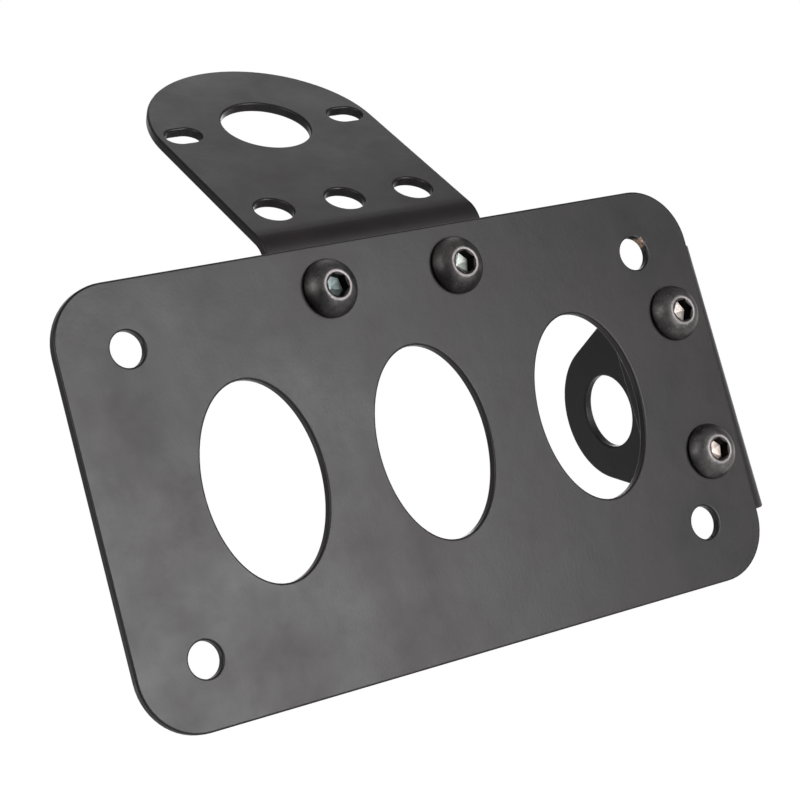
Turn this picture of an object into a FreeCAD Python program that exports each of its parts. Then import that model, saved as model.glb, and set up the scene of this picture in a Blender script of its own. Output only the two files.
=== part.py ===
import FreeCAD, Part
import math
import os

from FreeCAD import Vector

os.makedirs("parts", exist_ok=True)

# Tail tidy: a number plate panel, a folded bracket for the tail light on its top edge and a folded
# bracket for the wheel axle on its right edge. Millimetres. X runs right along the panel, Y away
# from whoever reads the plate, Z up. The origin is the centre of the panel's front face.

# Number plate panel
panelWidth = 178.0
panelHeight = 100.8
panelCorner = 14.5
sheetThickness = 2.5
plateBoltSpacingX = 143.4
plateBoltSpacingZ = 69.7
plateBoltHoleRadius = 4.2
ovalSpacing = 46.5
ovalHalfWidth = 15.5
ovalHalfHeight = 23.3

# The coating rounds every cut edge of the sheets by this much
edgeRadius = 0.5

# Screws that hold the brackets, in two pairs
screwPairSpacing = 36.0
topScrewHeight = 39.9
sideScrewX = 78.8
screwHoleRadius = 4.25

# Both folds are made over the same tool
bendInnerRadius = 5.5
bendOuterRadius = bendInnerRadius + sheetThickness

# Tail light bracket. The tab rises tabRise degrees from level. Lengths up the tab are measured along
# its slope from the foot of the perpendicular that the origin drops on its upper face.
tabWidth = 61.0
tabRise = 44.2
tabFaceDistance = 36.4
topFlangeLowerEdge = 24.0
tabEndCentre = 88.4
tabEndRadius = tabWidth / 2.0
cableHoleCentre = 89.8
cableHoleRadius = 11.35
lampSlotCentre = 89.9
lampSlotSpacing = 47.2
lampSlotLength = 9.5
lampSlotWidth = 6.9
rowHoleCentre = 52.1
rowHoleSpacing = 19.9
rowHoleRadius = 4.85

# Axle bracket. It sits a little out of square with the panel, turned about a line beside its fold.
axleBracketHeight = 70.0
axleFlangeLeftEdge = 62.3
axleFlangeChamfer = 19.7
axleOuterFace = 96.5
axleBracketTurn = -1.5
axleTurnLineX = 92.0
armShoulder = 20.0
armShoulderRadius = 12.0
armEndRadius = 19.25
axleHoleReach = 56.2
axleHoleRadius = 10.0

# Both flanges have the same hidden corners
flangeCorner = 5.0

# Button head screw M8 by 16, with the turn of each socket as it was tightened
screwHeadRadius = 7.0
screwHeadRim = 0.6
screwHeadHeight = 4.4
screwCrownRadius = 3.7
screwDomeMiddle = (6.0, 2.7)
screwShankRadius = 3.92
screwLength = 16.0
screwTipChamfer = 0.8
socketAcrossFlats = 5.1
socketDepth = 3.2
socketFloorDepth = 4.2
socketMouthRadius = 3.1
socketMouthDepth = 0.35
socketTurns = {"top_left": 40.0, "top_right": 14.0, "side_upper": 3.0, "side_lower": 18.0}

# Flat washer
washerRadius = 8.0
washerBore = 4.2
washerThickness = 1.6
washerChamfer = 0.3

# Lock nut with a nylon ring in its collar
nutAcrossFlats = 13.0
nutHexHeight = 6.3
nutHeight = 8.0
nutCollarRadius = 5.7
nutBore = 4.0
nutChamferRadius = 6.3
nutChamferAngle = 30.0
nutTurns = {"top_left": 11.0, "top_right": 37.0, "side_upper": 22.0, "side_lower": 4.0}
ringBore = 3.96
ringRadius = 5.0
ringLowerFace = 5.8
ringUpperFace = 7.4
collarLipRadius = 4.6

backOfPanel = sheetThickness
backOfFlange = backOfPanel + sheetThickness
alongY = Vector(0, 1, 0)


def screwCentres():
    """Centre of each screw on the panel's front face."""
    half = screwPairSpacing / 2.0
    return {
        "top_left": Vector(-half, 0, topScrewHeight),
        "top_right": Vector(half, 0, topScrewHeight),
        "side_upper": Vector(sideScrewX, 0, half),
        "side_lower": Vector(sideScrewX, 0, -half),
    }


def drill(solid, centre, direction, radius):
    """Cuts a round hole through one or more sheets about a point inside them."""
    length = 10 * sheetThickness
    tool = Part.makeCylinder(radius, length, centre - direction * (length / 2.0), direction)
    return solid.cut(tool)


def drillForScrews(solid):
    """Cuts every screw hole that falls within the sheet."""
    for centre in screwCentres().values():
        solid = drill(solid, centre, alongY, screwHoleRadius)
    return solid


def normalsAt(face, point):
    """Outward normal of a face at the place nearest to a point."""
    u, v = face.Surface.parameter(point)
    return face.normalAt(u, v)


def isSharp(solid, edge):
    """True where the two faces that meet at an edge turn by more than 45 degrees."""
    middle = edge.valueAt((edge.FirstParameter + edge.LastParameter) / 2.0)
    faces = solid.ancestorsOfType(edge, Part.Face)
    if len(faces) != 2:
        return False
    first, second = [normalsAt(face, middle) for face in faces]
    return math.degrees(first.getAngle(second)) > 45.0


def coatEdges(sheet):
    """Rounds the cut edges of a sheet on both of its faces."""
    edges = [edge for edge in sheet.Edges if isSharp(sheet, edge)]
    return sheet.makeFillet(edgeRadius, edges)


def roundCorners(solid, direction, test, radius):
    """Rounds the straight edges along a direction whose middle passes the test."""
    edges = []
    for edge in solid.Edges:
        if edge.Curve.TypeId != "Part::GeomLine":
            continue
        if abs(abs(edge.Curve.Direction.dot(direction)) - 1.0) < 1e-6 and test(edge.CenterOfMass):
            edges.append(edge)
    return solid.makeFillet(radius, edges)


def line(start, end):
    return Part.makeLine(start, end)


def arc(start, middle, end):
    return Part.Arc(start, middle, end).toShape()


def panel():
    """Flat sheet with rounded corners, three tall ovals, four corner holes and the screw holes."""
    sheet = Part.makeBox(panelWidth, sheetThickness, panelHeight,
                         Vector(-panelWidth / 2.0, 0, -panelHeight / 2.0))
    sheet = roundCorners(sheet, alongY, lambda point: True, panelCorner)
    for step in (-1, 0, 1):
        centre = Vector(step * ovalSpacing, 0, 0)
        oval = Part.Ellipse(centre + Vector(0, 0, ovalHalfHeight), centre + Vector(ovalHalfWidth, 0, 0),
                            centre)
        sheet = sheet.cut(Part.Face(Part.Wire(oval.toShape())).extrude(alongY * sheetThickness))
    for sideX in (-1, 1):
        for sideZ in (-1, 1):
            centre = Vector(sideX * plateBoltSpacingX / 2.0, 0, sideZ * plateBoltSpacingZ / 2.0)
            sheet = drill(sheet, centre, alongY, plateBoltHoleRadius)
    return drillForScrews(coatEdges(sheet))


def tabSlope():
    rise = math.radians(tabRise)
    return Vector(0, math.cos(rise), math.sin(rise))


def tabNormal():
    rise = math.radians(tabRise)
    return Vector(0, -math.sin(rise), math.cos(rise))


def tabPoint(across, along, depth=0.0):
    """Point of the tab, measured across it, up its slope and down into the sheet."""
    return Vector(across, 0, 0) + tabSlope() * along + tabNormal() * (tabFaceDistance - depth)


def tailLightFold():
    """Side view of the tail light bracket at X = 0: flange, fold and tab."""
    centreY = backOfPanel + bendOuterRadius
    drop = tabFaceDistance - bendOuterRadius + math.sin(math.radians(tabRise)) * centreY
    centre = Vector(0, centreY, drop / math.cos(math.radians(tabRise)))
    towards = tabNormal() - alongY
    towards.normalize()
    foot = Vector(0, 0, topFlangeLowerEdge - centre.z)
    reach = tabEndCentre + 2 * tabEndRadius
    outer = [centre + way * bendOuterRadius for way in (-alongY, towards, tabNormal())]
    inner = [centre + way * bendInnerRadius for way in (-alongY, towards, tabNormal())]
    outerTip = tabPoint(0, reach)
    innerTip = tabPoint(0, reach, sheetThickness)
    return Part.Wire([
        line(outer[0] + foot, outer[0]),
        arc(*outer),
        line(outer[2], outerTip),
        line(outerTip, innerTip),
        line(innerTip, inner[2]),
        arc(inner[2], inner[1], inner[0]),
        line(inner[0], inner[0] + foot),
        line(inner[0] + foot, outer[0] + foot),
    ])


def tabOutline():
    """Plan of the tab: straight sides and a half round end, carried down past the flange."""
    half = tabWidth / 2.0
    start = -tabWidth
    return Part.Wire([
        line(tabPoint(-half, start), tabPoint(half, start)),
        line(tabPoint(half, start), tabPoint(half, tabEndCentre)),
        arc(tabPoint(half, tabEndCentre), tabPoint(0, tabEndCentre + tabEndRadius),
            tabPoint(-half, tabEndCentre)),
        line(tabPoint(-half, tabEndCentre), tabPoint(-half, start)),
    ])


def slotOutline(across):
    """One short slot for the lamp, its length across the tab."""
    end = lampSlotWidth / 2.0
    half = lampSlotLength / 2.0 - end
    low = lampSlotCentre - end
    high = lampSlotCentre + end
    return Part.Wire([
        line(tabPoint(across - half, low), tabPoint(across + half, low)),
        arc(tabPoint(across + half, low), tabPoint(across + half + end, lampSlotCentre),
            tabPoint(across + half, high)),
        line(tabPoint(across + half, high), tabPoint(across - half, high)),
        arc(tabPoint(across - half, high), tabPoint(across - half - end, lampSlotCentre),
            tabPoint(across - half, low)),
    ])


def throughTab(outline, reach):
    """Solid on an outline in the tab's upper face, carried to both sides of it."""
    tool = Part.Face(outline).extrude(tabNormal() * (2 * reach))
    tool.translate(tabNormal() * -reach)
    return tool


def tailLightBracket():
    """Folded sheet: flange behind the panel's top edge and a leaning tab with a round end."""
    spare = Vector(tabWidth, 0, 0)
    folded = Part.Face(tailLightFold()).extrude(spare * 2)
    folded.translate(-spare)
    sheet = folded.common(throughTab(tabOutline(), tabWidth))
    sheet = roundCorners(sheet, alongY, lambda point: point.z < topFlangeLowerEdge + 1, flangeCorner)
    sheet = drill(sheet, tabPoint(0, cableHoleCentre), tabNormal(), cableHoleRadius)
    for step in (-1, 0, 1):
        sheet = drill(sheet, tabPoint(step * rowHoleSpacing, rowHoleCentre), tabNormal(), rowHoleRadius)
    for side in (-1, 1):
        sheet = sheet.cut(throughTab(slotOutline(side * lampSlotSpacing / 2.0), 2 * sheetThickness))
    return drillForScrews(coatEdges(sheet))


def axleFold():
    """Plan of the axle bracket at Z = 0: flange, square fold and arm."""
    centre = Vector(axleOuterFace - bendOuterRadius, backOfPanel + bendOuterRadius, 0)
    ways = (-alongY, Vector(math.sqrt(0.5), -math.sqrt(0.5), 0), Vector(1, 0, 0))
    outer = [centre + way * bendOuterRadius for way in ways]
    inner = [centre + way * bendInnerRadius for way in ways]
    back = Vector(axleFlangeLeftEdge - centre.x, 0, 0)
    reach = alongY * (axleHoleReach + armEndRadius)
    return Part.Wire([
        line(outer[0] + back, outer[0]),
        arc(*outer),
        line(outer[2], outer[2] + reach),
        line(outer[2] + reach, inner[2] + reach),
        line(inner[2] + reach, inner[2]),
        arc(inner[2], inner[1], inner[0]),
        line(inner[0], inner[0] + back),
        line(inner[0] + back, outer[0] + back),
    ])


def armOutline():
    """Side view of the arm: full height to the shoulders, then tangents to a round end."""
    half = axleBracketHeight / 2.0
    rise = half
    run = axleHoleReach - armShoulder
    taper = math.acos(armEndRadius / math.hypot(rise, run)) - math.atan2(run, rise)
    touchY = axleHoleReach + armEndRadius * math.sin(taper)
    touchZ = armEndRadius * math.cos(taper)
    tip = Vector(0, axleHoleReach + armEndRadius, 0)
    start = -sheetThickness
    return Part.Wire([
        line(Vector(0, start, -half), Vector(0, armShoulder, -half)),
        line(Vector(0, armShoulder, -half), Vector(0, touchY, -touchZ)),
        arc(Vector(0, touchY, -touchZ), tip, Vector(0, touchY, touchZ)),
        line(Vector(0, touchY, touchZ), Vector(0, armShoulder, half)),
        line(Vector(0, armShoulder, half), Vector(0, start, half)),
        line(Vector(0, start, half), Vector(0, start, -half)),
    ])


def flangePlan():
    """Front view of the axle bracket: its free corners are cut at 45 degrees, clear of the panel's
    corner holes, on lines carried out past the top and bottom of the sheet."""
    half = axleBracketHeight / 2.0
    left = axleFlangeLeftEdge
    straight = half - axleFlangeChamfer
    slant = axleFlangeChamfer + half
    right = left + axleBracketHeight
    corners = [(left, -straight), (left + slant, -straight - slant), (right, -straight - slant),
               (right, straight + slant), (left + slant, straight + slant), (left, straight)]
    points = [Vector(x, 0, z) for x, z in corners]
    return Part.makePolygon(points + points[:1])


def axleSideBracket():
    """Folded sheet: flange behind the panel's right edge and an arm back to the wheel axle."""
    spare = Vector(0, 0, axleBracketHeight)
    folded = Part.Face(axleFold()).extrude(spare * 2)
    folded.translate(-spare)
    sheet = folded.common(Part.Face(armOutline()).extrude(Vector(2 * axleOuterFace, 0, 0)))
    sheet = sheet.common(Part.Face(flangePlan()).extrude(alongY * (axleHoleReach + 2 * armEndRadius)))
    alongX = Vector(1, 0, 0)
    sheet = roundCorners(sheet, alongX, lambda point: abs(point.y - armShoulder) < 1, armShoulderRadius)
    sheet = roundCorners(sheet, alongY, lambda point: point.y < backOfFlange, flangeCorner)
    sheet = drill(sheet, Vector(axleOuterFace, axleHoleReach, 0), alongX, axleHoleRadius)
    sheet = coatEdges(sheet)
    sheet.rotate(Vector(axleTurnLineX, 0, 0), alongY, axleBracketTurn)
    return drillForScrews(sheet)


def turned(outline, centre):
    """Solid turned about the Y line through a centre. Outline: radius and distance along Y."""
    points = [centre + Vector(radius, depth, 0) for radius, depth in outline]
    face = Part.Face(Part.makePolygon(points + points[:1]))
    return face.revolve(centre, alongY, 360)


def hexagonBar(acrossFlats, centre, turn, length):
    """Six-sided bar along Y, its first corner turned up from +X."""
    radius = acrossFlats / math.sqrt(3.0)
    corners = []
    for step in range(6):
        angle = math.radians(turn + 60.0 * step)
        corners.append(centre + Vector(radius * math.cos(angle), 0, radius * math.sin(angle)))
    return Part.Face(Part.makePolygon(corners + corners[:1])).extrude(alongY * length)


def buttonHeadScrew(centre, socketTurn):
    """Domed head with a flat crown and a hexagon socket, on a plain shank."""
    def at(radius, depth):
        return centre + Vector(radius, depth, 0)

    crown = at(screwCrownRadius, -screwHeadHeight)
    rim = at(screwHeadRadius, -screwHeadRim)
    dome = at(screwDomeMiddle[0], -screwDomeMiddle[1])
    rest = [rim, at(screwHeadRadius, 0), at(screwShankRadius, 0),
            at(screwShankRadius, screwLength - screwTipChamfer),
            at(screwShankRadius - screwTipChamfer, screwLength), at(0, screwLength),
            at(0, -screwHeadHeight), crown]
    outline = Part.Wire([arc(crown, dome, rim)] + Part.makePolygon(rest).Edges)
    screw = Part.Face(outline).revolve(centre, alongY, 360)
    top = centre - alongY * screwHeadHeight
    mouth = turned([(0, 0), (socketMouthRadius, 0),
                    (socketAcrossFlats / 2.0, socketMouthDepth), (0, socketMouthDepth)], top)
    floor = turned([(0, socketMouthDepth), (socketAcrossFlats / 2.0, socketDepth),
                    (0, socketFloorDepth)], top)
    socket = hexagonBar(socketAcrossFlats, top, socketTurn, socketDepth)
    return screw.cut(mouth).cut(floor).cut(socket)


def flatWasher(centre):
    """Ring against the back of the flange, its far outer edge chamfered."""
    start = backOfFlange
    return turned([(washerBore, start), (washerRadius, start),
                   (washerRadius, start + washerThickness - washerChamfer),
                   (washerRadius - washerChamfer, start + washerThickness),
                   (washerBore, start + washerThickness)], centre)


def lockNut(centre, nutTurn):
    """Hexagon with both ends chamfered and a thin collar that is rolled over the nylon ring."""
    corner = nutAcrossFlats / math.sqrt(3.0)
    slant = math.tan(math.radians(nutChamferAngle)) * (corner - nutChamferRadius)
    bar = hexagonBar(nutAcrossFlats, centre, nutTurn, nutHexHeight)
    ends = turned([(0, 0), (nutChamferRadius, 0), (corner, slant), (corner, nutHexHeight - slant),
                   (nutChamferRadius, nutHexHeight), (0, nutHexHeight)], centre)
    collar = turned([(0, nutHexHeight / 2.0), (nutCollarRadius, nutHexHeight / 2.0),
                     (nutCollarRadius, ringUpperFace), (collarLipRadius + 0.3, nutHeight),
                     (0, nutHeight)], centre)
    mouth = nutBore + 0.4
    hole = turned([(0, 0), (mouth, 0), (nutBore, 0.4), (nutBore, ringLowerFace),
                   (ringRadius, ringLowerFace), (ringRadius, ringUpperFace),
                   (collarLipRadius, ringUpperFace), (collarLipRadius, nutHeight), (0, nutHeight)],
                  centre)
    return bar.common(ends).fuse(collar).cut(hole).removeSplitter()


def nylonRing(centre):
    """Ring that grips the screw inside the nut's collar."""
    return turned([(ringBore, ringLowerFace), (ringRadius, ringLowerFace), (ringRadius, ringUpperFace),
                   (ringBore, ringUpperFace)], centre)


def fasteners():
    """Screw, washer, nut and nylon ring at each of the four screw places."""
    pieces = {}
    for place, centre in screwCentres().items():
        seat = centre + alongY * (backOfFlange + washerThickness)
        pieces["screw_" + place] = buttonHeadScrew(centre, socketTurns[place])
        pieces["washer_" + place] = flatWasher(centre)
        pieces["lock_nut_" + place] = lockNut(seat, nutTurns[place])
        pieces["nylon_ring_" + place] = nylonRing(seat)
    return pieces


pieces = {
    "number_plate_panel": panel(),
    "tail_light_bracket": tailLightBracket(),
    "axle_side_bracket": axleSideBracket(),
}
pieces.update(fasteners())

for name, shape in pieces.items():
    solid = shape.Solids[0]
    solid.exportStep("parts/" + name + ".step")
    print(name, "solids", len(shape.Solids), "valid", solid.isValid(), "volume %.0f" % solid.Volume)
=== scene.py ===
import math

import bpy
import numpy as np
from mathutils import Matrix, Vector


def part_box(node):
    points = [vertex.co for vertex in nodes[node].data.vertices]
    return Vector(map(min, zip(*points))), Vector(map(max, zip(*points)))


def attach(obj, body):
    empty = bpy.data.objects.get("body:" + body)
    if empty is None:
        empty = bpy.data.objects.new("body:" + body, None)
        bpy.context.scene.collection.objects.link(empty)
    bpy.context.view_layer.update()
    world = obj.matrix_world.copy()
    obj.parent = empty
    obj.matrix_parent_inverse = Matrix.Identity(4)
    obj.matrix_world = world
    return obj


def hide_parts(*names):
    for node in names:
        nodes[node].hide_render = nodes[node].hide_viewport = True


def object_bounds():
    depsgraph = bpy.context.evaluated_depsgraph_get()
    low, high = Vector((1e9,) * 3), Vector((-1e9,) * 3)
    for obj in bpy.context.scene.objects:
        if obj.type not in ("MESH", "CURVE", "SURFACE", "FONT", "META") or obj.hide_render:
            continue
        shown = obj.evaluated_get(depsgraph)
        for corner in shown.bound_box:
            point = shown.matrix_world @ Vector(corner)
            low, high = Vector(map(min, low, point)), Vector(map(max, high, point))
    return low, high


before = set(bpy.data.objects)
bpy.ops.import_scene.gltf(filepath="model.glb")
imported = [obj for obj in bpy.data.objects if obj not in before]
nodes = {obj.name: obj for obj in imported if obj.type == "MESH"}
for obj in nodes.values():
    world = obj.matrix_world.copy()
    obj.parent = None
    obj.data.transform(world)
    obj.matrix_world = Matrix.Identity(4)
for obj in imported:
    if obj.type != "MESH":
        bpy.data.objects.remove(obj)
cadLow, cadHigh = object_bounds()
print("frame loaded:", len(nodes), "solids")

mm = 0.001
places = ("top_left", "top_right", "side_upper", "side_lower")
white = (1, 1, 1, 1)


# surfaces: rings of points, each closed on itself, become one mesh

def gridFaces(rows, columns):
    # the four corners of every cell between two rings, going round and closing on the first column
    r, c = np.meshgrid(np.arange(rows - 1), np.arange(columns), indexing="ij")
    n = (c + 1) % columns
    cells = [r * columns + c, (r + 1) * columns + c, (r + 1) * columns + n, r * columns + n]
    return np.stack(cells, axis=-1).reshape(-1, 4).tolist()


def fanFaces(first, columns, pole, turnedRound):
    # triangles from one ring to the point that closes it
    c = np.arange(columns)
    n = (c + 1) % columns
    pair = [first + n, first + c] if turnedRound else [first + c, first + n]
    return np.stack([*pair, np.full(columns, pole)], axis=-1).tolist()


def fullTurn(columns):
    # angles of the columns of one ring, in radians
    return np.linspace(0, 2 * np.pi, columns, endpoint=False)[None, :]


def newPiece(name, points, faces):
    mesh = bpy.data.meshes.new(name)
    mesh.from_pydata(points.tolist(), [], faces)
    mesh.validate()
    piece = bpy.data.objects.new(name, mesh)
    bpy.context.scene.collection.objects.link(piece)
    return piece


def turnedSurface(name, radius, depth, turn, start, end):
    # each row is one ring: x = radius * cos(angle), z = radius * sin(angle), y = depth
    # start and end are the depths of the two points on the axis that close the surface
    rows, columns = radius.shape
    angle = turn + fullTurn(columns)
    ring = np.stack([radius * np.cos(angle), depth + 0 * angle, radius * np.sin(angle)], axis=-1)
    points = np.vstack([ring.reshape(-1, 3), [[0, start, 0], [0, end, 0]]])
    pole = rows * columns
    faces = gridFaces(rows, columns)
    faces += fanFaces(0, columns, pole, True)
    faces += fanFaces(pole - columns, columns, pole + 1, False)
    return newPiece(name, points, faces)


def smoothPiece(piece, sharpDegrees):
    mesh = piece.data
    mesh.polygons.foreach_set("use_smooth", np.ones(len(mesh.polygons), bool))
    mesh.set_sharp_from_angle(angle=math.radians(sharpDegrees))
    mesh.update()


# shader helpers: each adds a node or two and gives back a socket

def addNode(tree, kind, values=None, **settings):
    # a value is a number, a colour or a socket to link from
    node = tree.nodes.new(kind)
    for key, value in settings.items():
        setattr(node, key, value)
    for key, value in (values or {}).items():
        if isinstance(value, bpy.types.NodeSocket):
            tree.links.new(value, node.inputs[key])
        else:
            node.inputs[key].default_value = value
    return node


def newMaterial(name):
    material = bpy.data.materials.new(name)
    material.use_nodes = True
    return material, material.node_tree, material.node_tree.nodes["Principled BSDF"]


def objectPlace(tree):
    return addNode(tree, "ShaderNodeTexCoord").outputs["Object"]


def calculate(tree, operation, *values, clamp=False):
    node = addNode(tree, "ShaderNodeMath", dict(enumerate(values)), operation=operation, use_clamp=clamp)
    return node.outputs[0]


def lengthAlong(tree, vector, direction):
    node = addNode(tree, "ShaderNodeVectorMath", {0: vector, 1: direction}, operation="DOT_PRODUCT")
    return node.outputs["Value"]


def distanceTo(tree, place, point):
    node = addNode(tree, "ShaderNodeVectorMath", {0: place, 1: point}, operation="DISTANCE")
    return node.outputs["Value"]


def noise(tree, place, scale, detail=3.0):
    values = {"Vector": place, "Scale": scale, "Detail": detail, "Roughness": 0.5}
    return addNode(tree, "ShaderNodeTexNoise", values).outputs["Fac"]


def mapRange(tree, value, fromLow, fromHigh, toLow=0.0, toHigh=1.0, shape="LINEAR"):
    values = {"Value": value, "From Min": fromLow, "From Max": fromHigh, "To Min": toLow, "To Max": toHigh}
    return addNode(tree, "ShaderNodeMapRange", values, interpolation_type=shape).outputs["Result"]


def mixColours(tree, factor, first, second):
    node = addNode(tree, "ShaderNodeMix", {"Factor": factor}, data_type="RGBA")
    colours = [s for s in node.inputs if s.type == "RGBA"]
    for socket, colour in zip(colours, (first, second)):
        if isinstance(colour, bpy.types.NodeSocket):
            tree.links.new(colour, socket)
        else:
            socket.default_value = colour
    return next(s for s in node.outputs if s.type == "RGBA")


def bump(tree, height, distance, strength, under=None):
    # under is the normal of a bump that this one lies on
    values = {"Height": height, "Distance": distance, "Strength": strength}
    if under:
        values["Normal"] = under
    return addNode(tree, "ShaderNodeBump", values).outputs["Normal"]


def newGroup(name, inputs, outputs):
    group = bpy.data.node_groups.new(name, "ShaderNodeTree")
    for label, kind, value in inputs:
        socket = group.interface.new_socket(label, in_out="INPUT", socket_type=kind)
        if value is not None:
            socket.default_value = value
    for label, kind in outputs:
        group.interface.new_socket(label, in_out="OUTPUT", socket_type=kind)
    return group, group.nodes.new("NodeGroupInput").outputs, group.nodes.new("NodeGroupOutput").inputs


def useGroup(tree, group, values):
    return addNode(tree, "ShaderNodeGroup", values, node_tree=group).outputs


# clouds: slow blotches over the whole piece, as a coat sprayed by hand has

clouds = {"detail": 8.0, "roughness": 0.68, "darkBelow": 0.32, "lightAbove": 0.68}


def makeCloudGroup():
    group, given, out = newGroup("slowClouds", [
        ("Vector", "NodeSocketVector", None),
        ("Scale", "NodeSocketFloat", 22.0),
        ("Light", "NodeSocketColor", (0.05, 0.05, 0.05, 1)),
        ("Dark", "NodeSocketColor", (0.04, 0.04, 0.04, 1)),
    ], [("Color", "NodeSocketColor"), ("Mask", "NodeSocketFloat")])
    cloud = addNode(group, "ShaderNodeTexNoise", {
        "Vector": given["Vector"], "Scale": given["Scale"],
        "Detail": clouds["detail"], "Roughness": clouds["roughness"]})
    mask = mapRange(group, cloud.outputs["Fac"], clouds["darkBelow"], clouds["lightAbove"])
    group.links.new(mixColours(group, mask, given["Dark"], given["Light"]), out["Color"])
    group.links.new(mask, out["Mask"])
    return group


# specks: small round dots where a fine cell pattern comes close to its centres

def makeSpeckGroup():
    group, given, out = newGroup("fineSpecks", [
        ("Vector", "NodeSocketVector", None),
        ("Scale", "NodeSocketFloat", 300.0),
        ("Size", "NodeSocketFloat", 0.05),
        ("Share", "NodeSocketFloat", 0.02),
    ], [("Mask", "NodeSocketFloat")])
    cells = addNode(group, "ShaderNodeTexVoronoi", {
        "Vector": given["Vector"], "Scale": given["Scale"]}, feature="F1")
    near = calculate(group, "LESS_THAN", cells.outputs["Distance"], given["Size"])
    tone = addNode(group, "ShaderNodeSeparateColor", {"Color": cells.outputs["Color"]}).outputs["Red"]
    chosen = calculate(group, "LESS_THAN", tone, given["Share"])
    group.links.new(calculate(group, "MULTIPLY", near, chosen), out["Mask"])
    return group


slowClouds = makeCloudGroup()
fineSpecks = makeSpeckGroup()


# coat: satin black powder on the three sheets

coat = {
    "dark": (0.0082, 0.0073, 0.0077, 1),
    "light": (0.0112, 0.0116, 0.0118, 1),
    "warm": (0.0195, 0.0096, 0.0134, 1),
    "cloudScale": 36.0,       # all scales are per metre
    "warmScale": 16.0,
    "speck": (0.45, 0.45, 0.45, 1),
    "speckScale": 260.0,
    "speckSize": 0.045,
    "speckShare": 0.012,
    "roughLow": 0.32,
    "roughHigh": 0.465,
    "gloss": 0.45,
    "waveScale": 120.0,
    "waveDetail": 3.0,
    "waveHeight": 0.06 * mm,
    "waveStrength": 1.0,
    "grainScale": 1400.0,
    "grainDetail": 2.0,
    "grainHeight": 0.03 * mm,
    "grainStrength": 0.6,
    "glanceFrom": 0.6,        # wave and grain even out from here, where 1 is a sheet seen edge on
    "glanceFull": 0.85,
}
# a bump makes the sheet look as if it turned softly into the tab's fold
fold = {
    "rise": 44.2,             # degrees from level to the tab
    "start": 41.6 * mm,       # up the tab
    "reach": 3.8 * mm,
    "height": 0.36 * mm,
    "frontOnly": 0.3,         # how squarely a face must look the way the tab's front does
}
# a spot of bare brown steel in the wall of the upper right plate hole
chip = {
    "place": (75.0 * mm, 1.4 * mm, 37.5 * mm),
    "reach": 2.4 * mm,
    "colour": (0.36, 0.23, 0.16, 1),
    "tornScale": 1500.0,
}


def softFold(tree, place):
    # height goes from 0 to 1 along the tab, on its front only, so the normal leans most where the fold starts
    rise = math.radians(fold["rise"])
    along = lengthAlong(tree, place, (0, math.cos(rise), math.sin(rise)))
    low, high = fold["start"] - fold["reach"], fold["start"] + fold["reach"]
    step = mapRange(tree, along, low, high, shape="SMOOTHERSTEP")
    normal = addNode(tree, "ShaderNodeTexCoord").outputs["Normal"]
    facing = lengthAlong(tree, normal, (0, -math.sin(rise), math.cos(rise)))
    front = calculate(tree, "GREATER_THAN", facing, fold["frontOnly"])
    return bump(tree, calculate(tree, "MULTIPLY", step, front), fold["height"], 1.0)


def chipMask(tree, place):
    # 1 within reach of the spot, with an edge torn by noise
    near = mapRange(tree, distanceTo(tree, place, chip["place"]), 0.0, chip["reach"], 1.0, 0.0)
    torn = mapRange(tree, noise(tree, place, chip["tornScale"]), 0.3, 0.7, 0.4, 1.8)
    return mapRange(tree, calculate(tree, "MULTIPLY", near, torn), 0.3, 0.6)


def makeCoat(name, folded=False, chipped=False):
    material, tree, shader = newMaterial(name)
    place = objectPlace(tree)
    warm = useGroup(tree, slowClouds, {
        "Vector": place, "Scale": coat["warmScale"], "Light": coat["warm"], "Dark": coat["light"]})
    tone = useGroup(tree, slowClouds, {
        "Vector": place, "Scale": coat["cloudScale"], "Light": warm["Color"], "Dark": coat["dark"]})
    specks = useGroup(tree, fineSpecks, {
        "Vector": place, "Scale": coat["speckScale"],
        "Size": coat["speckSize"], "Share": coat["speckShare"]})
    colour = mixColours(tree, specks["Mask"], tone["Color"], coat["speck"])
    if chipped:
        colour = mixColours(tree, chipMask(tree, place), colour, chip["colour"])
    tree.links.new(colour, shader.inputs["Base Color"])
    rough = mapRange(tree, tone["Mask"], 0.0, 1.0, coat["roughLow"], coat["roughHigh"])
    tree.links.new(rough, shader.inputs["Roughness"])
    shader.inputs["Specular IOR Level"].default_value = coat["gloss"]
    # the fold, the wave and the grain lie on each other; the last two even out where the sheet is seen edge on
    glance = addNode(tree, "ShaderNodeLayerWeight", {"Blend": 0.5}).outputs["Facing"]
    square = mapRange(tree, glance, coat["glanceFrom"], coat["glanceFull"], 1.0, 0.0)
    normal = softFold(tree, place) if folded else None
    for kind in ("wave", "grain"):
        rise = noise(tree, place, coat[kind + "Scale"], coat[kind + "Detail"])
        strength = calculate(tree, "MULTIPLY", square, coat[kind + "Strength"])
        normal = bump(tree, rise, coat[kind + "Height"], strength, normal)
    tree.links.new(normal, shader.inputs["Normal"])
    return material


# oxide: the screws' black skin, with bare steel and painted shade where the piece's own attributes say, and
# painted light and shade in the skin's tone

oxide = {
    "black": (0.018, 0.018, 0.019, 1),
    "brown": (0.066, 0.061, 0.060, 1),
    "cloudScale": 230.0,
    "pit": (0.14, 0.13, 0.125, 1),
    "pitScale": 1700.0,
    "pitSize": 0.17,
    "pitShare": 0.18,
    "unevenScale": 900.0,
    "roughness": 0.45,
    "bumpScale": 2200.0,
    "bumpHeight": 0.05 * mm,
    "bumpStrength": 0.7,
}


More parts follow.
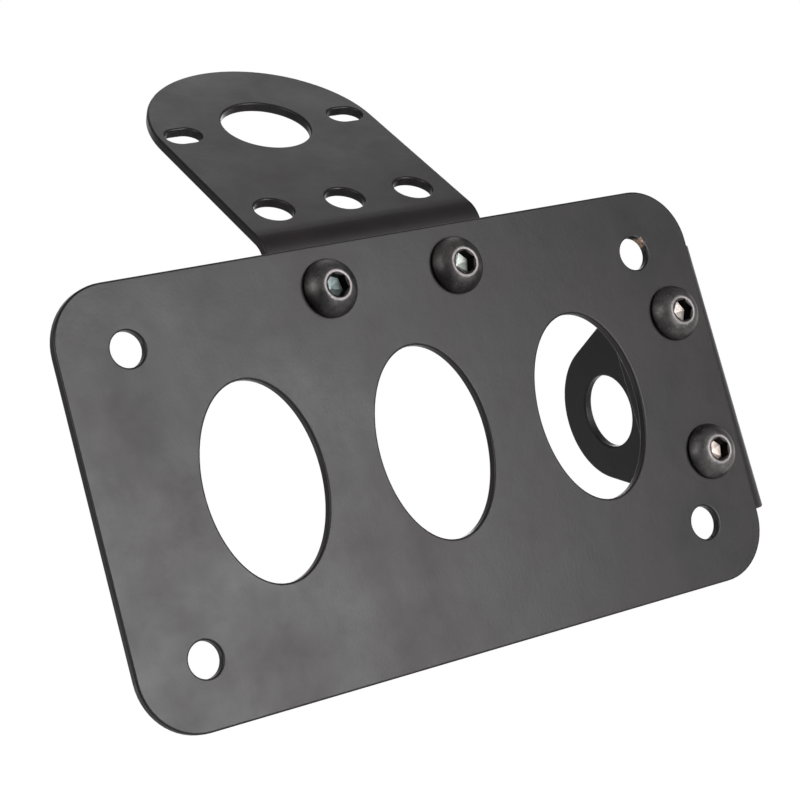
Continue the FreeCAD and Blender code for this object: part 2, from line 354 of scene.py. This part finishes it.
def makeOxide():
    # bareSteelOrPaintedShade is the share of bare steel or of painted shade, bareSteelOrPaintedShadeColour its
    # colour there, and skinToneWithPaintedLightAndShade makes the black skin lighter or darker: painted light
    # on top, painted shade at the lower left and in the socket
    material, tree, shader = newMaterial("blackenedSteel")
    place = objectPlace(tree)
    bareOrShadeShare = addNode(tree, "ShaderNodeAttribute", attribute_name="bareSteelOrPaintedShade").outputs["Fac"]
    bareOrShadeColour = addNode(tree, "ShaderNodeAttribute", attribute_name="bareSteelOrPaintedShadeColour").outputs["Color"]
    tone = addNode(tree, "ShaderNodeAttribute", attribute_name="skinToneWithPaintedLightAndShade").outputs["Fac"]
    skin = useGroup(tree, slowClouds, {
        "Vector": place, "Scale": oxide["cloudScale"], "Light": oxide["brown"], "Dark": oxide["black"]})
    pits = useGroup(tree, fineSpecks, {
        "Vector": place, "Scale": oxide["pitScale"], "Size": oxide["pitSize"], "Share": oxide["pitShare"]})
    pitted = mixColours(tree, pits["Mask"], skin["Color"], oxide["pit"])
    toned = addNode(tree, "ShaderNodeVectorMath", {0: pitted, "Scale": tone}, operation="SCALE").outputs[0]
    # the edge of the bare steel and of the painted shade is uneven: share + (noise - 0.5) * 1.2 where the share
    # is above 0.3, cut to 0 to 1
    uneven = mapRange(tree, noise(tree, place, oxide["unevenScale"]), 0.0, 1.0, -0.6, 0.6)
    share = calculate(tree, "MULTIPLY_ADD", uneven, mapRange(tree, bareOrShadeShare, 0.0, 0.3), bareOrShadeShare, clamp=True)
    tree.links.new(mixColours(tree, share, toned, bareOrShadeColour), shader.inputs["Base Color"])
    shader.inputs["Roughness"].default_value = oxide["roughness"]
    shader.inputs["Metallic"].default_value = 1.0
    rise = noise(tree, place, oxide["bumpScale"])
    tree.links.new(bump(tree, rise, oxide["bumpHeight"], oxide["bumpStrength"]), shader.inputs["Normal"])
    return material


# zinc on washers and nuts, and the nuts' nylon

zinc = {
    "light": (0.72, 0.73, 0.76, 1),
    "dark": (0.58, 0.59, 0.60, 1),
    "scale": 300.0,
    "rough": (0.28, 0.40),    # in the dark and in the light clouds
}
nylon = {
    "light": (0.72, 0.75, 0.78, 1),
    "dark": (0.64, 0.68, 0.72, 1),
    "scale": 400.0,
    "rough": (0.45, 0.45),
}


def makePlain(name, finish, metallic):
    material, tree, shader = newMaterial(name)
    tone = useGroup(tree, slowClouds, {
        "Vector": objectPlace(tree), "Scale": finish["scale"],
        "Light": finish["light"], "Dark": finish["dark"]})
    tree.links.new(tone["Color"], shader.inputs["Base Color"])
    low, high = finish["rough"]
    shader.inputs["Roughness"].default_value = low
    if high > low:
        tree.links.new(mapRange(tree, tone["Mask"], 0.0, 1.0, low, high), shader.inputs["Roughness"])
    shader.inputs["Metallic"].default_value = metallic
    return material


satinBlackPowderCoat = makeCoat("satinBlackPowderCoat")
chippedPowderCoat = makeCoat("chippedPowderCoat", chipped=True)
foldedPowderCoat = makeCoat("foldedPowderCoat", folded=True)
blackenedSteel = makeOxide()
brightZinc = makePlain("brightZinc", zinc, 1.0)
whiteNylon = makePlain("whiteNylon", nylon, 0.0)
print("materials made")


# screws: one turned surface from the socket's floor over the head and down the thread to the tip

screw = {
    "socketFlat": 2.55 * mm,        # middle of the socket to one flat
    "floorDepth": 3.2 * mm,
    "coneDepth": 4.2 * mm,
    "mouthRadius": 3.1 * mm,
    "mouthDepth": 0.35 * mm,
    "crownRadius": 3.7 * mm,
    "domeMiddle": (6.0 * mm, 2.7 * mm),
    "domeFoot": (7.0 * mm, 0.85 * mm),
    "domeRows": 22,
    "shankRadius": 4.3 * mm,        # where the flat underside ends
    "pitch": 1.25 * mm,
    "rowsPerPitch": 14,
    "threadRadius": 3.97 * mm,
    "threadDepth": 0.68 * mm,
    "threadStart": 0.5 * mm,        # below the head
    "tipChamfer": 0.8 * mm,
    "wornEdge": 3.46 * mm,          # how far out the bright ring about the socket goes
    "ring": (0.24, 0.218, 0.22),
    # shade: the near-black painted shade on the socket's walls and under the rim
    "shade": (0.003, 0.003, 0.003),
    # how much painted shade darkens the skin in the socket
    "socketPaintedShade": 0.3,
    "columns": 96,
    "sharpDegrees": 30,
}
# the rim rolls under: radius and height in mm, and its share of near-black painted shade, because its lower
# half looks at the sheet
screwRim = ((7.0, 0.62, 0.5), (6.96, 0.42, 1.0), (6.86, 0.22, 1.0), (6.7, 0.08, 1.0), (6.5, 0.0, 1.0))
# each screw: its turn in degrees, the share and colour of bare steel on its socket's floor,
# and its skin's tone, how much painted light lightens its top and how much painted shade darkens its lower left
screws = {
    "top_left": {"turn": 40, "floor": (0.60, (0.37, 0.45, 0.45)), "skin": (2.9, 0.1, 0.75)},
    "top_right": {"turn": 14, "floor": (0.9, (0.46, 0.49, 0.455)), "skin": (2.75, 0.1, 0.75)},
    "side_upper": {"turn": 3, "floor": (0.95, (0.54, 0.49, 0.455)), "skin": (3.6, 0.05, 0.6)},
    "side_lower": {"turn": 18, "floor": (0.95, (0.72, 0.61, 0.56)), "skin": (4.3, -0.15, 0.7)},
}


def hexagonRadius(flat, columns):
    # distance from the middle to a hexagon's side, with a corner at angle 0
    return flat / np.cos((fullTurn(columns) % (np.pi / 3)) - np.pi / 6)


def arcThrough(first, middle, last, steps):
    # points on the circle through three given points, from the first to the last
    a, b, c = (complex(*p) for p in (first, middle, last))
    w = (c - a) / (b - a)
    centre = a + (b - a) * (w - abs(w) ** 2) / (2j * w.imag)
    start, stop = np.angle(a - centre), np.angle(c - centre)
    turn = (stop - start + np.pi) % (2 * np.pi) - np.pi
    angle = start + turn * np.linspace(0, 1, steps)
    return centre.real + abs(a - centre) * np.cos(angle), centre.imag + abs(a - centre) * np.sin(angle)


def headRows(height, floorWorn, floorColour):
    # rings from the socket's floor to the underside, each with its radius, its height above the panel's front,
    # and its share and colour of bare steel or of painted shade
    s = screw
    ones = np.ones((1, s["columns"]))
    flat = hexagonRadius(s["socketFlat"], s["columns"])
    rows = []

    def add(radius, level, bareOrShadeShare, colour):
        rows.append((radius * ones, level * ones, bareOrShadeShare * ones, np.full((1, s["columns"], 3), colour)))

    floor, cone = height - s["floorDepth"], height - s["coneDepth"]
    for share in (0.12, 0.5, 0.9, 0.985):
        add(flat * share, cone + (floor - cone) * share, floorWorn, floorColour)
    # the flat ring at the floor and the socket's walls take the near-black painted shade of the recess
    add(flat, floor, 1.0, s["shade"])
    slope = s["mouthDepth"] / (s["mouthRadius"] - s["socketFlat"])
    mouth = height - (s["mouthRadius"] - flat) * slope
    for share in (0.02, 0.3, 0.7, 0.98):
        add(flat, floor + (mouth - floor) * share, 1.0, s["shade"])
    add(flat, mouth, 0.1, s["ring"])
    add(s["mouthRadius"] - 0.05 * mm, height - 0.03 * mm, 0.2, s["ring"])
    add(s["mouthRadius"] + 0.05 * mm, height, 0.85, s["ring"])
    add(s["wornEdge"], height, 0.85, s["ring"])
    dome = arcThrough((s["crownRadius"], height), s["domeMiddle"], s["domeFoot"], s["domeRows"])
    for k, (radius, level) in enumerate(zip(*dome)):
        add(radius, level, 0.1 if k == 0 else 0.0, s["ring"] if k < s["domeRows"] // 2 else s["shade"])
    # the rim's lower rows take the near-black painted shade under the rim
    for radius, level, black in screwRim:
        add(radius * mm, level * mm, black, s["shade"])
    add(s["shankRadius"], 0.0, 0.0, s["shade"])
    return rows


def shankRows(length):
    # thread: the radius falls from the crest to the root with the distance from a helix,
    # y = pitch * angle / full turn
    s = screw
    level = np.arange(0.05 * mm, length, s["pitch"] / s["rowsPerPitch"])
    level = np.append(level[level < length - 0.02 * mm], length)[:, None]
    turn = fullTurn(s["columns"]) / (2 * np.pi)
    phase = np.abs(2 * ((level / s["pitch"] - turn) % 1) - 1)
    groove = np.clip(1.3 * phase - 0.15, 0, 1) * s["threadDepth"]
    runOut = np.clip((level - s["threadStart"]) / s["pitch"], 0, 1)
    tip = s["threadRadius"] - s["tipChamfer"] + (length - level)
    radius = np.minimum(s["threadRadius"] - groove * runOut, tip)
    return [(radius, -level + 0 * radius, 0 * radius, np.full((*radius.shape, 3), s["shade"]))]


def addAttribute(mesh, name, kind, field, values):
    mesh.attributes.new(name, kind, "POINT").data.foreach_set(field, values.ravel())


def makeScrew(place):
    node = "screw_" + place
    low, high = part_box(node)
    turn = math.radians(screws[place]["turn"])
    floorWorn, floorColour = screws[place]["floor"]
    tone, paintedTopLight, paintedLowerLeftShade = screws[place]["skin"]
    rows = headRows(-low.y, floorWorn, floorColour) + shankRows(high.y)
    radius, level, bareOrShadeShare, bareOrShadeColour = (np.vstack([row[k] for row in rows]) for k in range(4))
    piece = turnedSurface("threaded_" + node, radius, -level, turn, -level[0, 0], high.y)
    # every attribute ends with the values of the two points on the axis
    addAttribute(piece.data, "bareSteelOrPaintedShade", "FLOAT", "value", np.append(bareOrShadeShare, [floorWorn, 0.0]))
    colours = np.vstack([bareOrShadeColour.reshape(-1, 3), [floorColour, screw["shade"]]])
    colours = np.column_stack([colours, np.ones(len(colours))])
    addAttribute(piece.data, "bareSteelOrPaintedShadeColour", "FLOAT_COLOR", "color", colours)
    # the skin with painted light and shade: tone * (1 + radius / head radius * (lighter * top - darker *
    # lowerLeft)), painted light on top, painted shade at the lower left and painted shade in the socket, with
    # top = cos(angle - 80 degrees) and lowerLeft = cos(angle - 200 degrees), cut to 0 to 1, to the power 4
    about = turn + fullTurn(screw["columns"])
    top = np.cos(about - math.radians(80))
    lowerLeft = np.clip(np.cos(about - math.radians(200)), 0, 1) ** 4
    outwards = radius / screw["domeFoot"][0]
    paintedShadeInSocket = np.where(radius < screw["mouthRadius"], screw["socketPaintedShade"], 1.0)
    skin = tone * (1 + outwards * (paintedTopLight * top - paintedLowerLeftShade * lowerLeft)) * paintedShadeInSocket
    addAttribute(piece.data, "skinToneWithPaintedLightAndShade", "FLOAT", "value", np.append(skin, [tone, tone]))
    piece.data.transform(Matrix.Translation(((low.x + high.x) / 2, 0, (low.z + high.z) / 2)))
    piece.data.materials.append(blackenedSteel)
    smoothPiece(piece, screw["sharpDegrees"])
    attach(piece, "root")
    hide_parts(node)


for place in places:
    makeScrew(place)
print("screws made")


# finishes of the solids that show as they are

def dress(name, material):
    slots = nodes[name].material_slots
    for slot in slots:
        slot.material = material
    if not slots:
        nodes[name].data.materials.append(material)


dress("number_plate_panel", chippedPowderCoat)
dress("tail_light_bracket", foldedPowderCoat)
dress("axle_side_bracket", satinBlackPowderCoat)
for place in places:
    dress("screw_" + place, blackenedSteel)
    dress("washer_" + place, brightZinc)
    dress("lock_nut_" + place, brightZinc)
    dress("nylon_ring_" + place, whiteNylon)
print("solids dressed")


# floor: a large pale sheet under the part, which turns white towards its far edge

floor = {
    "level": -0.30,               # the part is held up by its axle, a wheel's radius above the floor
    "rings": (0.3, 1.0, 3.0, 9.0),
    "columns": 64,
    "colour": (0.82, 0.82, 0.82, 1),
    "nearLift": 0.30,             # added white below the part, where its shadow falls
    "farLift": 0.84,
    "liftFrom": 0.15,             # metres from its middle, as the rings are
    "liftFull": 0.9,
}
backdrop = {
    "aside": 32.6,                # degrees from +Y towards +X, the way the photograph looks
    "mirrorFrom": 0.40,           # mirrors see the floor's white from here on, in metres along that way
    "mirrorFull": 1.15,
    "skyFrom": 0.63,              # and the room's white from here on, as the cosine off that way
    "skyFull": 0.88,
}


def lookWay():
    aside = math.radians(backdrop["aside"])
    return math.sin(aside), math.cos(aside), 0


def seenShare(tree, behind):
    # 1 for the camera, behind (0 to 1) for a mirror or glass, and 0 for a ray that only gathers light
    path = addNode(tree, "ShaderNodeLightPath").outputs
    mirror = calculate(tree, "ADD", path["Is Glossy Ray"], path["Is Transmission Ray"], clamp=True)
    return calculate(tree, "MULTIPLY_ADD", mirror, behind, path["Is Camera Ray"], clamp=True)


def makePaper():
    material = bpy.data.materials.new("paleFloor")
    material.use_nodes = True
    tree = material.node_tree
    tree.nodes.clear()
    place = objectPlace(tree)
    along = lengthAlong(tree, place, lookWay())
    behind = mapRange(tree, along, backdrop["mirrorFrom"], backdrop["mirrorFull"], shape="SMOOTHSTEP")
    away = distanceTo(tree, place, (0, 0, floor["level"]))
    lift = mapRange(tree, away, floor["liftFrom"], floor["liftFull"],
                    floor["nearLift"], floor["farLift"], "SMOOTHSTEP")
    strength = calculate(tree, "MULTIPLY", seenShare(tree, behind), lift)
    matt = addNode(tree, "ShaderNodeBsdfDiffuse", {"Color": floor["colour"]}).outputs[0]
    glow = addNode(tree, "ShaderNodeEmission", {"Color": white, "Strength": strength}).outputs[0]
    paper = addNode(tree, "ShaderNodeAddShader", {0: matt, 1: glow}).outputs[0]
    # seen from below the sheet isn't there, so the part's underside can be looked at
    below = addNode(tree, "ShaderNodeNewGeometry").outputs["Backfacing"]
    nothing = addNode(tree, "ShaderNodeBsdfTransparent").outputs[0]
    oneSided = addNode(tree, "ShaderNodeMixShader", {0: below, 1: paper, 2: nothing}).outputs[0]
    addNode(tree, "ShaderNodeOutputMaterial", {"Surface": oneSided})
    return material


def makeFloor():
    # a disc: x = radius * cos(angle), y = radius * sin(angle), in rings and a middle point
    radius, level = np.array(floor["rings"])[:, None], floor["level"]
    angle = fullTurn(floor["columns"])
    ring = np.stack([radius * np.cos(angle), radius * np.sin(angle), level + 0 * radius * angle], axis=-1)
    points = np.vstack([ring.reshape(-1, 3), [[0, 0, level]]])
    faces = gridFaces(len(radius), floor["columns"])
    faces += fanFaces(0, floor["columns"], len(points) - 1, False)
    sheet = newPiece("floor", points, faces)
    sheet.data.materials.append(makePaper())


makeFloor()


# light: an even grey room, which is white where it is seen, and soft boxes

room = {"level": 0.205}
lamps = {
    # degrees round from the panel's front towards its right end, degrees up, metres away, side and strength
    "frontBox": {"round": 17, "up": -6, "away": 1.0, "size": 0.55, "watts": 7.7},
    "highBox": {"round": 28, "up": 22, "away": 1.0, "size": 0.35, "watts": 0.45},
    "topBox": {"round": 125, "up": 57, "away": 1.0, "size": 0.42, "watts": 0.66},
    "leftBox": {"round": -66, "up": 16, "away": 0.9, "size": 0.50, "watts": 2.4},
    "backBox": {"round": 140, "up": 10, "away": 1.0, "size": 0.50, "watts": 3.0},
}


def makeRoom():
    world = bpy.data.worlds.new("greyRoom")
    bpy.context.scene.world = world
    world.use_nodes = True
    tree = world.node_tree
    tree.nodes.clear()
    direction = addNode(tree, "ShaderNodeTexCoord").outputs["Generated"]
    off = lengthAlong(tree, direction, lookWay())
    behind = mapRange(tree, off, backdrop["skyFrom"], backdrop["skyFull"], shape="SMOOTHSTEP")
    strength = mapRange(tree, seenShare(tree, behind), 0.0, 1.0, room["level"], 1.0)
    sky = addNode(tree, "ShaderNodeBackground", {"Color": white, "Strength": strength}).outputs[0]
    addNode(tree, "ShaderNodeOutputWorld", {"Surface": sky})


def makeLamp(name, lamp, aim):
    data = bpy.data.lights.new(name, "AREA")
    data.shape = "SQUARE"
    data.size = lamp["size"]
    data.energy = lamp["watts"]
    light = bpy.data.objects.new(name, data)
    bpy.context.scene.collection.objects.link(light)
    aside, up = math.radians(lamp["round"]), math.radians(lamp["up"])
    towards = Vector((math.sin(aside) * math.cos(up), -math.cos(aside) * math.cos(up), math.sin(up)))
    light.location = aim + towards * lamp["away"]
    light.rotation_euler = towards.to_track_quat("Z", "Y").to_euler()


makeRoom()
middle = (cadLow + cadHigh) / 2
for name, lamp in lamps.items():
    makeLamp(name, lamp, middle)
print("lights set")


# camera: at the photograph's place, rolled as the photograph is

view = {
    "place": (-0.299087, -0.457422, -0.021497),
    "forward": (0.53742, 0.84116, 0.06024),
    "rollDegrees": 14.47,
    "sensor": 36.0,               # mm
    "lens": 105.197,
    "nearest": 0.01,
    "farthest": 100.0,
}


def makeCamera():
    data = bpy.data.cameras.new("camera")
    data.sensor_width = view["sensor"]
    data.sensor_fit = "HORIZONTAL"
    data.lens = view["lens"]
    data.clip_start, data.clip_end = view["nearest"], view["farthest"]
    camera = bpy.data.objects.new("camera", data)
    bpy.context.scene.collection.objects.link(camera)
    forward = Vector(view["forward"]).normalized()
    level = forward.to_track_quat("-Z", "Y")
    roll = Matrix.Rotation(math.radians(view["rollDegrees"]), 4, forward)
    camera.matrix_world = Matrix.Translation(view["place"]) @ roll @ level.to_matrix().to_4x4()
    bpy.context.scene.camera = camera


makeCamera()
bpy.context.scene.view_settings.view_transform = "Standard"
print("camera set")
